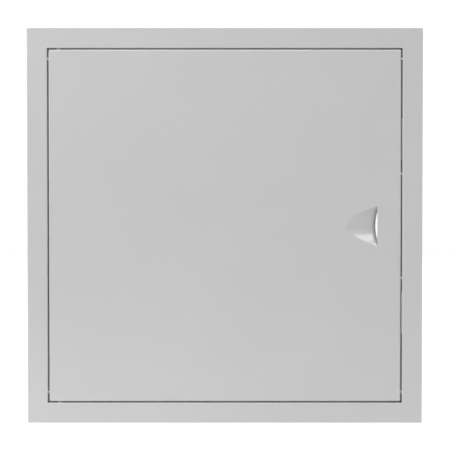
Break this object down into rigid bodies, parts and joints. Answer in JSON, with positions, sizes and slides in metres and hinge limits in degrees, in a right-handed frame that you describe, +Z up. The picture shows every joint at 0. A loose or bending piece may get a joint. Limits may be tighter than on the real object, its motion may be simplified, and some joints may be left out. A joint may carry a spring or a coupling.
{
  "type": "wall access panel",
  "caption": "Square painted steel access panel with a flush side-hung door, hidden pivots, a pressed finger scoop and magnetic catches inside a folded flanged frame.",
  "frame": {"origin": "centre of the panel on the wall plane, which is the back face of the flange", "axes": "+X to the right seen from the front, +Y into the wall, +Z up"},
  "size_m": [0.4, 0.0312, 0.4],
  "materials": {
    "grey_paint": "light grey satin powder coat",
    "zinc": "bright zinc plate",
    "nylon": "natural nylon",
    "white_plastic": "moulded white plastic",
    "ferrite": "black sintered ferrite"
  },
  "bodies": {
    "frame": {"frame": "grey_paint", "pivot_washer_top": "nylon", "pivot_washer_bottom": "nylon", "catch_plate_upper": "zinc", "catch_housing_upper": "white_plastic", "catch_magnet_upper": "ferrite", "catch_poles_upper": "zinc", "catch_plate_lower": "zinc", "catch_housing_lower": "white_plastic", "catch_magnet_lower": "ferrite", "catch_poles_lower": "zinc"},
    "door": {"door_panel": "grey_paint", "pivot_plate_top": "zinc", "pivot_plate_bottom": "zinc", "pivot_pin_top": "zinc", "pivot_pin_bottom": "zinc"}
  },
  "joints": [
    {"name": "door_hinge", "type": "hinge", "parent": "frame", "child": "door", "pos_m": [-0.16825, 0.0038, 0], "axis": [0, 0, -1], "range_deg": [0, 100]}
  ]
}
